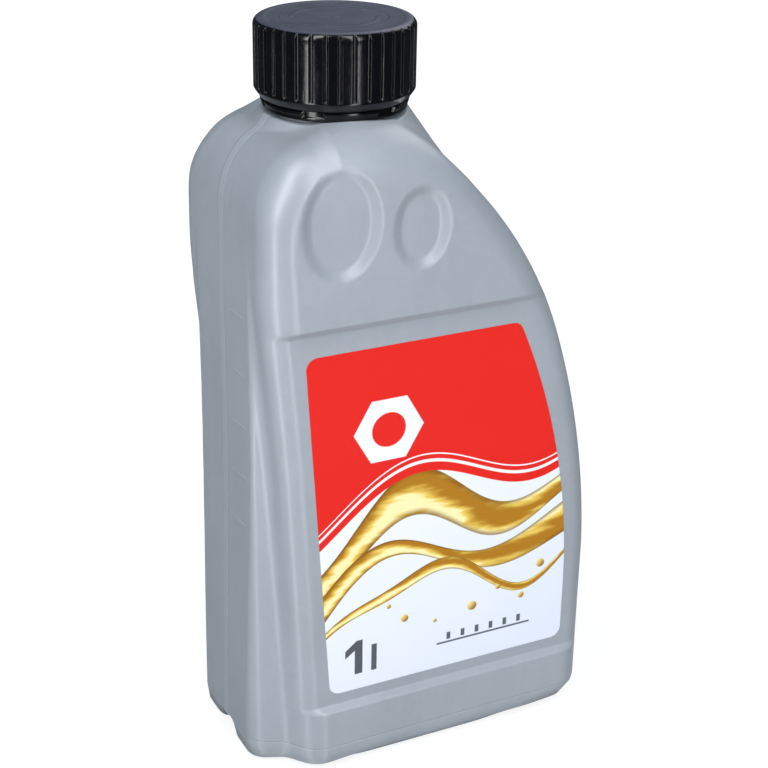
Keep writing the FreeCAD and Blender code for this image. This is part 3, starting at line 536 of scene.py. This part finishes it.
def helix(name, root, crest, half_root, half_crest, start, turns):
    """A thread: a ridge with sloping flanks that climbs and tapers off at both ends."""
    count = int(turns * THREAD_STEPS) + 1
    rows = []
    for k in range(count):
        turn = 2.0 * math.pi * k / THREAD_STEPS
        fade = min(1.0, k / THREAD_FADE, (count - 1 - k) / THREAD_FADE)
        top = root + (crest - root) * (0.04 + 0.96 * fade)
        z = start + THREAD_PITCH * turn / (2.0 * math.pi)
        ring = [(root, z - half_root), (top, z - half_crest),
                (top, z + half_crest), (root, z + half_root)]
        rows.append([(r * math.cos(turn), r * math.sin(turn), h) for r, h in ring])
    points = np.array(rows).reshape(-1, 3)
    outward = crest > root
    faces = grid_faces(count, 4, flip=outward)
    ends = [(0, 1, 2, 3), tuple(4 * (count - 1) + i for i in (3, 2, 1, 0))]
    faces += ends if outward else [tuple(reversed(face)) for face in ends]
    return new_object(name, points, faces)


LABEL_FRONT = -PANEL_HALF_DEPTH - 0.15
LABEL_BOTTOM = 26.0
LABEL_TOP = 138.3
LABEL_RIGHT = 66.0
LABEL_CORNER = 3.5
# the bow of the label's right edge: where it begins, its height and how far it goes in
BOW_START = 45.0
BOW_HEIGHT = 93.3
BOW_DEPTH = 20.6


def label_outline(inset=0.0):
    """Outline of the label in the front view, anticlockwise, with rounded corners."""
    radius = (BOW_HEIGHT ** 2 + BOW_DEPTH ** 2) / (2.0 * BOW_DEPTH)
    bow = [(LABEL_RIGHT - radius + radius * math.cos(t), BOW_START + radius * math.sin(t))
           for t in np.linspace(0.0, math.asin(BOW_HEIGHT / radius), 40)]
    corners = [(-15.3, LABEL_BOTTOM), (LABEL_RIGHT, LABEL_BOTTOM), *bow, (-23.2, LABEL_TOP)]
    sharp = {0, 1, len(corners) - 2, len(corners) - 1}
    points = []
    for index, corner in enumerate(corners):
        here = np.array(corner)
        if index not in sharp:
            # points of the bow that the corner's rounding takes away are left out
            if np.linalg.norm(here - np.array(corners[-2])) > 4.6:
                points.append(here)
            continue
        before = np.array(corners[index - 1])
        after = np.array(corners[(index + 1) % len(corners)])
        into = (here - before) / np.linalg.norm(here - before)
        if index == len(corners) - 2:
            into = np.array(bow[-1]) - np.array(bow[-4])
            into = into / np.linalg.norm(into)
        out = (after - here) / np.linalg.norm(after - here)
        bend = math.acos(float(np.clip(np.dot(into, out), -1.0, 1.0)))
        cut = LABEL_CORNER * math.tan(bend / 2.0)
        inward = np.array([-into[1], into[0]])
        centre = here - into * cut + inward * LABEL_CORNER
        first = math.atan2(-inward[1], -inward[0])
        for t in first + np.linspace(0.0, bend, 12):
            points.append(centre + LABEL_CORNER * np.array([math.cos(t), math.sin(t)]))
    points = np.array(points)
    if inset:
        ahead = np.roll(points, -1, axis=0) - np.roll(points, 1, axis=0)
        ahead = ahead / np.linalg.norm(ahead, axis=1, keepdims=True)
        points = points + inset * np.stack([-ahead[:, 1], ahead[:, 0]], axis=-1)
    return points


def make_label():
    """A thin film with a fine soft edge on the front panel."""
    rings = []
    for inset, y in ((0.0, -PANEL_HALF_DEPTH), (0.0, LABEL_FRONT + 0.05),
                     (0.02, LABEL_FRONT + 0.015), (0.07, LABEL_FRONT)):
        flat = label_outline(inset)
        rings.append(np.stack([flat[:, 0], np.full(len(flat), y), flat[:, 1]], axis=-1))
    count = len(rings[0])
    faces = grid_faces(len(rings), count)
    faces.append(tuple(reversed(range(count))))
    faces.append(tuple(range(3 * count, 4 * count)))
    label = new_object("label_film", np.array(rings).reshape(-1, 3), faces)
    for polygon in label.data.polygons:
        polygon.use_smooth = len(polygon.vertices) == 4
    return label


class Value:
    """A number that a node works out, with ordinary arithmetic."""

    def __init__(self, tree, socket):
        self.tree = tree
        self.socket = socket

    def _math(self, operation, *others):
        node = self.tree.nodes.new("ShaderNodeMath")
        node.operation = operation
        for index, item in enumerate((self,) + others):
            if isinstance(item, Value):
                self.tree.links.new(item.socket, node.inputs[index])
            else:
                node.inputs[index].default_value = float(item)
        return Value(self.tree, node.outputs[0])

    def __add__(self, other):
        return self._math("ADD", other)

    __radd__ = __add__

    def __sub__(self, other):
        return self._math("SUBTRACT", other)

    def __rsub__(self, other):
        return (self * -1.0) + other

    def __mul__(self, other):
        return self._math("MULTIPLY", other)

    def __truediv__(self, other):
        return self._math("DIVIDE", other)

    def __abs__(self):
        return self._math("ABSOLUTE")

    def sqrt(self):
        return self._math("SQRT")

    def sin(self):
        return self._math("SINE")

    def cos(self):
        return self._math("COSINE")

    def most(self, other):
        return self._math("MAXIMUM", other)

    def angle(self, other):
        return self._math("ARCTAN2", other)

    def step(self, low, high):
        """0 below low, 1 above high, smooth between."""
        node = self.tree.nodes.new("ShaderNodeMapRange")
        node.interpolation_type = "SMOOTHSTEP"
        self.tree.links.new(self.socket, node.inputs["Value"])
        node.inputs["From Min"].default_value = low
        node.inputs["From Max"].default_value = high
        return Value(self.tree, node.outputs["Result"])


class Shade:
    """A material with one Principled shader and helpers for its nodes."""

    def __init__(self, name, colour, roughness, specular=0.5):
        self.material = bpy.data.materials.new(name)
        self.material.use_nodes = True
        self.tree = self.material.node_tree
        self.shader = self.tree.nodes["Principled BSDF"]
        self.shader.inputs["Base Color"].default_value = (*colour, 1.0)
        self.shader.inputs["Roughness"].default_value = roughness
        self.shader.inputs["Specular IOR Level"].default_value = specular
        coordinates = self.tree.nodes.new("ShaderNodeTexCoord")
        self.object_space = coordinates.outputs["Object"]
        split = self.tree.nodes.new("ShaderNodeSeparateXYZ")
        self.tree.links.new(self.object_space, split.inputs[0])
        raw = [Value(self.tree, split.outputs[i]) for i in range(3)]
        # millimetres about the neck's axis
        self.x = raw[0] * 1000.0 - NECK_X
        self.y = raw[1] * 1000.0
        self.z = raw[2] * 1000.0

    def noise(self, size_mm, detail=2.0, roughness=0.5, stretch=None):
        """Noise with features of about size_mm."""
        node = self.tree.nodes.new("ShaderNodeTexNoise")
        node.inputs["Scale"].default_value = 1000.0 / size_mm
        node.inputs["Detail"].default_value = detail
        node.inputs["Roughness"].default_value = roughness
        source = self.object_space
        if stretch is not None:
            mapping = self.tree.nodes.new("ShaderNodeMapping")
            mapping.inputs["Scale"].default_value = stretch
            self.tree.links.new(source, mapping.inputs["Vector"])
            source = mapping.outputs["Vector"]
        self.tree.links.new(source, node.inputs["Vector"])
        return Value(self.tree, node.outputs["Fac"])

    def mix(self, mask, low, high):
        """A colour between two colours; either may be a colour socket."""
        node = self.tree.nodes.new("ShaderNodeMix")
        node.data_type = "RGBA"
        self.tree.links.new(mask.socket, node.inputs["Factor"])
        for item, socket in ((low, node.inputs[6]), (high, node.inputs[7])):
            if isinstance(item, tuple):
                socket.default_value = (*item, 1.0)
            else:
                self.tree.links.new(item, socket)
        return node.outputs[2]

    def colour(self, socket):
        self.tree.links.new(socket, self.shader.inputs["Base Color"])

    def roughness(self, value):
        self.tree.links.new(value.socket, self.shader.inputs["Roughness"])

    def bump(self, height_mm):
        """Raise the surface by a height in millimetres."""
        node = self.tree.nodes.new("ShaderNodeBump")
        node.inputs["Strength"].default_value = 1.0
        node.inputs["Distance"].default_value = MM
        self.tree.links.new(height_mm.socket, node.inputs["Height"])
        self.tree.links.new(node.outputs["Normal"], self.shader.inputs["Normal"])


def srgb(red, green, blue):
    """A colour as it looks on a screen, 0 to 255, as the shader takes it."""
    out = []
    for value in (red, green, blue):
        value = value / 255.0
        out.append(value / 12.92 if value <= 0.04045 else ((value + 0.055) / 1.055) ** 2.4)
    return tuple(out)


def bottle_material():
    shade = Shade("bottle_plastic", srgb(162, 169, 177), 0.4, 0.95)
    shade.shader.inputs["Metallic"].default_value = 0.1
    x, y, z = shade.x, shade.y, shade.z
    cloud = shade.noise(38.0, 3.0, 0.55)
    fine = shade.noise(2.2, 2.0, 0.5)
    mottle = (cloud * 0.7 + fine * 0.3).step(0.3, 0.7)
    base = shade.mix(mottle, srgb(158, 165, 173), srgb(165, 172, 180))
    # pearl pigment drawn out along the parting of the parison
    streak = shade.noise(5.0, 3.0, 0.6, stretch=(1.0, 1.0, 0.05))
    base = shade.mix(streak.step(0.42, 0.78) * 0.18, base, srgb(174, 180, 187))
    # the parting line is painted lighter along its crest and darker at its roots: a painted
    # highlight and painted shade
    ridge_root_shade = 1.0 - abs(abs(y) - 2.0).step(0.05, 0.45)
    base = shade.mix((1.0 - abs(y).step(1.2, 1.8)) * 0.3, base, srgb(180, 187, 195))
    base = shade.mix(ridge_root_shade * 0.35, base, srgb(112, 122, 136))
    shade.roughness(0.34 + cloud * 0.05 + fine * 0.04)
    # levels marked on the rib, and the fine line round the base insert
    on_rib = (x * -1.0).step(33.6, 34.2) * y.step(-16.6, -16.0) * (1.0 - y.step(-5.6, -5.0))
    slant = (y + 11.0) * 0.09
    ticks = 1.0 - abs(z - 146.6 + slant).step(0.1, 0.42)
    for level in (128.6, 112.3, 96.2, 80.6):
        ticks = ticks.most(1.0 - abs(z - level + slant).step(0.1, 0.42))
    ticks = ticks * on_rib
    # the raised ticks are painted lighter than the rib: a painted highlight where they catch the
    # light
    shade.colour(shade.mix(ticks * 0.6, base, srgb(190, 197, 204)))
    insert = 1.0 - abs(z - 8.2).step(0.08, 0.32)
    # orange peel and faint flow lines
    peel = shade.noise(1.3, 2.0, 0.6) * 0.005 + shade.noise(9.0, 1.0, 0.5) * 0.03
    flow = shade.noise(4.0, 2.0, 0.5, stretch=(1.0, 1.0, 0.06)) * 0.008
    shade.bump(peel + flow + ticks * 0.16 - insert * 0.1)
    return shade.material


def cap_material():
    shade = Shade("cap_plastic", srgb(9, 9, 12), 0.2, 0.5)
    x, y, z = shade.x, shade.y, shade.z
    fine = shade.noise(0.7, 3.0, 0.6)
    cloud = shade.noise(9.0, 2.0, 0.5)
    top = z.step(CAP_TOP - 0.5, CAP_TOP - 0.2)
    side = shade.mix(cloud.step(0.3, 0.7), srgb(5, 5, 8), srgb(9, 9, 12))
    # the lid's face is painted far lighter than the black sides: a painted sheen from the light
    # the upward face catches
    face = shade.mix(cloud.step(0.3, 0.7), srgb(66, 69, 84), srgb(74, 77, 93))
    shade.colour(shade.mix(top, side, face))
    # faint wear makes the sides' sheen uneven
    scuff = shade.noise(1.1, 3.0, 0.65, stretch=(1.0, 1.0, 0.16)).step(0.45, 0.75)
    shade.roughness(0.09 + fine * 0.04 + cloud * 0.03 + scuff * 0.08 + top * 0.26)
    # on the lid: the gate's mark and two shallow arcs, one each way round it
    reach = (x * x + y * y).sqrt()
    turn = y.angle(x)
    arcs = 1.0 - abs(reach - 12.0).step(0.55, 0.8)
    arcs = arcs * abs(turn.sin()).step(0.34, 0.4)
    rings = arcs.most(1.0 - abs(reach - 15.2).step(0.12, 0.3))
    gate = 1.0 - reach.step(0.8, 1.2)
    marks = rings.most(gate) * top
    shade.bump(fine * 0.005 + cloud * 0.02 + scuff * 0.006 + marks * 0.16)
    return shade.material


def liner_material():
    shade = Shade("liner_foam", srgb(232, 231, 226), 0.6)
    cells = shade.noise(0.5, 3.0, 0.7)
    shade.colour(shade.mix(cells, srgb(224, 223, 217), srgb(238, 237, 233)))
    shade.bump(cells * 0.03)
    return shade.material


def label_material():
    """Pale ground, a red field that ends in a wave, and gold ribbons that follow it."""
    shade = Shade("label_print", srgb(236, 239, 246), 0.33, 0.3)
    x, z = shade.x, shade.z
    down = (z * -1.0 + x * 0.6).step(-110.0, 20.0)
    colour = shade.mix(down, srgb(238, 240, 245), srgb(222, 228, 240))
    swell = (x * 0.068 + 0.9).sin() * 9.5 + x * 0.2
    wave = swell + 84.0
    # gold ribbons under the red field, each with its own swing
    streak = shade.noise(7.0, 3.0, 0.6, stretch=(0.35, 1.0, 1.6))
    ribbons = ((-9.5, 3.5, 0.115, 5.4, 0.4), (-24.0, 5.0, 0.09, 4.2, 2.2),
               (-34.0, 3.0, 0.14, 1.5, 4.0))
    for level, swing, reach, width, phase in ribbons:
        middle = wave + level + (x * reach + phase).sin() * swing
        half = (x * 0.055 + phase * 1.7).sin() * (width * 0.45) + width
        across = (z - middle) / half
        body = 1.0 - abs(across).step(0.96, 1.02)
        tone = (across * 2.6 + streak * 5.0 + x * 0.05).sin() * 0.5 + 0.5
        gold = shade.mix(tone.step(0.1, 0.9), srgb(176, 120, 18), srgb(240, 205, 92))
        gold = shade.mix(tone.step(0.72, 0.98), gold, srgb(250, 238, 178))
        gold = shade.mix(abs(across).step(0.62, 1.0) * 0.8, gold, srgb(120, 74, 12))
        colour = shade.mix(body, colour, gold)
    # a few drops: place and radius
    drops = ((9.5, 47.0, 1.3), (4.0, 52.5, 0.8), (33.0, 45.5, 1.6), (42.0, 50.0, 0.9),
             (50.5, 45.0, 1.1), (20.0, 43.5, 0.7), (57.0, 55.0, 1.5))
    for cx, cz, size in drops:
        dx, dz = x - cx, z - cz
        reach = (dx * dx + dz * dz).sqrt() / size
        drop = 1.0 - reach.step(0.9, 1.08)
        glow = ((dx * 0.6 + dz * -0.6) / size).step(-0.9, 0.9)
        colour = shade.mix(drop, colour, shade.mix(glow, srgb(246, 222, 130), srgb(150, 96, 14)))
    # the red field, with a white line that runs along its edge
    above = z - wave
    red = above.step(-0.12, 0.12)
    shine = shade.noise(30.0, 1.0, 0.5)
    colour = shade.mix(red, colour, shade.mix(shine, srgb(225, 26, 16), srgb(232, 31, 20)))
    line = 1.0 - abs(above - 3.4).step(0.42, 0.62)
    thin = 1.0 - abs(above - 5.6).step(0.14, 0.3)
    white = srgb(240, 241, 245)
    colour = shade.mix(line.most(thin), colour, white)
    # a plain mark: the outline of a hexagonal nut
    dx, dz = x - 3.0, z - 112.0
    across = abs(dx * 0.866 + dz * 0.5).most(abs(dx * 0.866 - dz * 0.5)).most(abs(dz))
    nut = (1.0 - across.step(9.6, 9.9)) * (dx * dx + dz * dz).sqrt().step(5.3, 5.6)
    colour = shade.mix(nut, colour, white)
    # a scale of short bars above the lower edge
    bars = (x * (math.pi / 2.5)).cos().step(0.62, 0.74)
    length = x.step(20.9, 21.0) * (1.0 - x.step(54.0, 54.1))
    bars = bars * z.step(35.4, 35.6) * (1.0 - z.step(37.9, 38.1))
    foot = 1.0 - abs(z - 34.6).step(0.25, 0.4)
    colour = shade.mix(bars.most(foot) * length, colour, srgb(92, 96, 104))
    shade.colour(colour)
    shade.roughness(0.3 + shade.noise(1.0, 2.0) * 0.05)
    film = shade.noise(14.0, 2.0, 0.5) * 0.02 + shade.noise(1.6, 2.0, 0.5) * 0.003
    shade.bump(film + red * 0.01)
    return shade.material


def ink_material():
    shade = Shade("label_ink", srgb(84, 88, 96), 0.4)
    grain = shade.noise(0.9, 2.0, 0.6)
    shade.colour(shade.mix(grain, srgb(78, 82, 90), srgb(92, 96, 104)))
    shade.bump(grain * 0.004)
    return shade.material


def make_number():
    """The plain number 1 and a litre's stroke, as thin printed shapes on the label."""
    strokes = [
        [(-7.2, 31.4), (-4.6, 31.4), (-4.6, 43.2), (-6.6, 43.2), (-10.4, 40.2), (-10.4, 37.6),
         (-7.2, 39.9)],
        [(-1.6, 31.4), (0.2, 31.4), (0.2, 40.6), (-1.6, 40.6)],
    ]
    points, faces = [], []
    for stroke in strokes:
        start = len(points)
        count = len(stroke)
        points += [(px, LABEL_FRONT + 0.01, pz) for px, pz in stroke]
        points += [(px, LABEL_FRONT - 0.015, pz) for px, pz in stroke]
        faces.append(tuple(start + i for i in reversed(range(count))))
        faces.append(tuple(start + count + i for i in range(count)))
        for i in range(count):
            k = (i + 1) % count
            faces.append((start + i, start + k, start + count + k, start + count + i))
    number = new_object("label_number", points, faces)
    for polygon in number.data.polygons:
        polygon.use_smooth = False
    return number


def fit_out(obj, body, material, node=None):
    """Give an object its body and material, and let it stand for a node."""
    obj.data.materials.append(material)
    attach(obj, body)
    if node:
        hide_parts(node)


bottle_shade = bottle_material()
cap_shade = cap_material()
fit_out(make_bottle(), "bottle_body", bottle_shade, "bottle")
neck_thread = helix("neck_thread", NECK_RADIUS - 0.1, 19.15, 1.15, 0.45, 206.6, 2.6)
fit_out(neck_thread, "bottle_body", bottle_shade)
fit_out(make_band(), "bottle_body", cap_shade, "tamper_band")
fit_out(make_label(), "bottle_body", label_material(), "front_label")
fit_out(make_number(), "bottle_body", ink_material())
fit_out(make_cap(), "cap_body", cap_shade, "cap")
cap_thread = helix("cap_thread", CAP_INSIDE + 0.1, 18.8, 1.1, 0.42, 208.6, 2.4)
fit_out(cap_thread, "cap_body", cap_shade)
fit_out(make_liner(), "seal_body", liner_material(), "cap_liner")


FLOOR_HALF = 3.0


def ramp(tree, source, low, high, low_value, high_value):
    """A node that takes low to low_value and high to high_value."""
    node = tree.nodes.new("ShaderNodeMapRange")
    for name, value in (("From Min", low), ("From Max", high), ("To Min", low_value),
                        ("To Max", high_value)):
        node.inputs[name].default_value = value
    tree.links.new(source, node.inputs["Value"])
    return node.outputs["Result"]


def mix_shaders(tree, share, low, high):
    """A mix of two shaders."""
    node = tree.nodes.new("ShaderNodeMixShader")
    for index, source in enumerate((share, low, high)):
        tree.links.new(source, node.inputs[index])
    return node.outputs[0]


def make_floor():
    """White ground; only in the bottle's own sheen does it mirror the lamps."""
    mesh = bpy.data.meshes.new("floor")
    size = FLOOR_HALF
    mesh.from_pydata([(-size, -size, 0), (size, -size, 0), (size, size, 0), (-size, size, 0)],
                     [], [(0, 1, 2, 3)])
    floor = bpy.data.objects.new("floor", mesh)
    bpy.context.scene.collection.objects.link(floor)
    material = bpy.data.materials.new("floor_white")
    material.use_nodes = True
    tree = material.node_tree
    tree.nodes.clear()
    output = tree.nodes.new("ShaderNodeOutputMaterial")
    diffuse = tree.nodes.new("ShaderNodeBsdfDiffuse")
    diffuse.inputs["Color"].default_value = (0.8, 0.8, 0.8, 1.0)
    glow = tree.nodes.new("ShaderNodeEmission")
    glow.inputs["Color"].default_value = (1.0, 1.0, 1.0, 1.0)
    # the lamps reach less far than the floor, so its own white grows outwards
    place = tree.nodes.new("ShaderNodeTexCoord")
    reach = tree.nodes.new("ShaderNodeVectorMath")
    reach.operation = "LENGTH"
    tree.links.new(place.outputs["Object"], reach.inputs[0])
    spread = ramp(tree, reach.outputs["Value"], 0.2, 2.2, 1.18, 1.53)
    tree.links.new(spread, glow.inputs["Strength"])
    path = tree.nodes.new("ShaderNodeLightPath")
    share = tree.nodes.new("ShaderNodeMath")
    share.operation = "MULTIPLY"
    share.inputs[1].default_value = 0.7
    tree.links.new(path.outputs["Is Camera Ray"], share.inputs[0])
    ground = mix_shaders(tree, share.outputs[0], diffuse.outputs[0], glow.outputs[0])
    # the mirror is weaker near the bottle
    mirror = tree.nodes.new("ShaderNodeBsdfGlossy")
    mirror.inputs["Roughness"].default_value = 0.12
    fade = ramp(tree, reach.outputs["Value"], 0.1, 0.36, 0.3, 0.9)
    tree.links.new(fade, mirror.inputs["Color"])
    sheen = mix_shaders(tree, path.outputs["Is Glossy Ray"], ground, mirror.outputs[0])
    tree.links.new(sheen, output.inputs["Surface"])
    mesh.materials.append(material)


def make_world():
    """White behind everything, and a faint cool light from all round."""
    world = bpy.data.worlds.new("studio")
    bpy.context.scene.world = world
    world.use_nodes = True
    tree = world.node_tree
    tree.nodes.clear()
    output = tree.nodes.new("ShaderNodeOutputWorld")
    ambient = tree.nodes.new("ShaderNodeBackground")
    ambient.inputs["Color"].default_value = (0.74, 0.88, 1.0, 1.0)
    white = tree.nodes.new("ShaderNodeBackground")
    white.inputs["Color"].default_value = (1.0, 1.0, 1.0, 1.0)
    white.inputs["Strength"].default_value = 1.0
    path = tree.nodes.new("ShaderNodeLightPath")
    # the room is dim in reflections and fills the shadows elsewhere
    dim = ramp(tree, path.outputs["Is Glossy Ray"], 0.0, 1.0, 0.34, 0.07)
    tree.links.new(dim, ambient.inputs["Strength"])
    sky = mix_shaders(tree, path.outputs["Is Camera Ray"], ambient.outputs[0], white.outputs[0])
    tree.links.new(sky, output.inputs["Surface"])


CAMERA_TURN = math.radians(-26.749)
CAMERA_DIP = math.radians(24.16)
CAMERA_ROLL = math.radians(0.99)
CAMERA_PLACE = (-202.05, -434.73, 329.17)
CAMERA_LENS = 81.73
# height that the lamps are aimed at, in metres
LIGHT_AIM = 0.12


def camera_axes():
    """Right, up and forward directions of the camera."""
    a, p, r = CAMERA_TURN, CAMERA_DIP, CAMERA_ROLL
    forward = Vector((-math.sin(a) * math.cos(p), math.cos(a) * math.cos(p), -math.sin(p)))
    right = Vector((math.cos(a), math.sin(a), 0.0))
    up = right.cross(forward)
    tilted_right = right * math.cos(r) + up * math.sin(r)
    tilted_up = up * math.cos(r) - right * math.sin(r)
    return tilted_right, tilted_up, forward


def make_camera():
    right, up, forward = camera_axes()
    x, y, z = CAMERA_PLACE
    place = Vector((x + NECK_X, y, z)) * MM
    camera = bpy.data.objects.new("camera", bpy.data.cameras.new("camera"))
    bpy.context.scene.collection.objects.link(camera)
    camera.data.sensor_width = 36.0
    camera.data.lens = CAMERA_LENS
    camera.data.clip_start = 0.01
    camera.matrix_world = Matrix((
        (right.x, up.x, -forward.x, place.x),
        (right.y, up.y, -forward.y, place.y),
        (right.z, up.z, -forward.z, place.z),
        (0.0, 0.0, 0.0, 1.0),
    ))
    bpy.context.scene.camera = camera


def softbox(name, turn, lift, distance, width, height, power):
    """A rectangular light, turned in degrees from the camera's side and aimed at the bottle."""
    around = CAMERA_TURN + math.radians(turn)
    rise = math.radians(lift)
    aim = Vector((0.0, 0.0, LIGHT_AIM))
    level = math.cos(rise)
    way = Vector((math.sin(around) * level, -math.cos(around) * level, math.sin(rise)))
    place = aim + way * distance
    data = bpy.data.lights.new(name, "AREA")
    data.shape = "RECTANGLE"
    data.size = width
    data.size_y = height
    data.energy = power
    light = bpy.data.objects.new(name, data)
    bpy.context.scene.collection.objects.link(light)
    light.location = place
    light.rotation_euler = (aim - place).to_track_quat("-Z", "Y").to_euler()


make_floor()
make_world()
make_camera()
# turn, lift, distance, width, height and power
softbox("left_strip", -34.0, 38.0, 1.3, 0.3, 2.1, 14.5)
softbox("right_strip", 31.0, 38.0, 1.3, 0.3, 2.1, 10.5)
softbox("back_fill", 152.0, 42.0, 1.5, 1.2, 1.0, 6.0)

bpy.context.scene.view_settings.view_transform = "Standard"
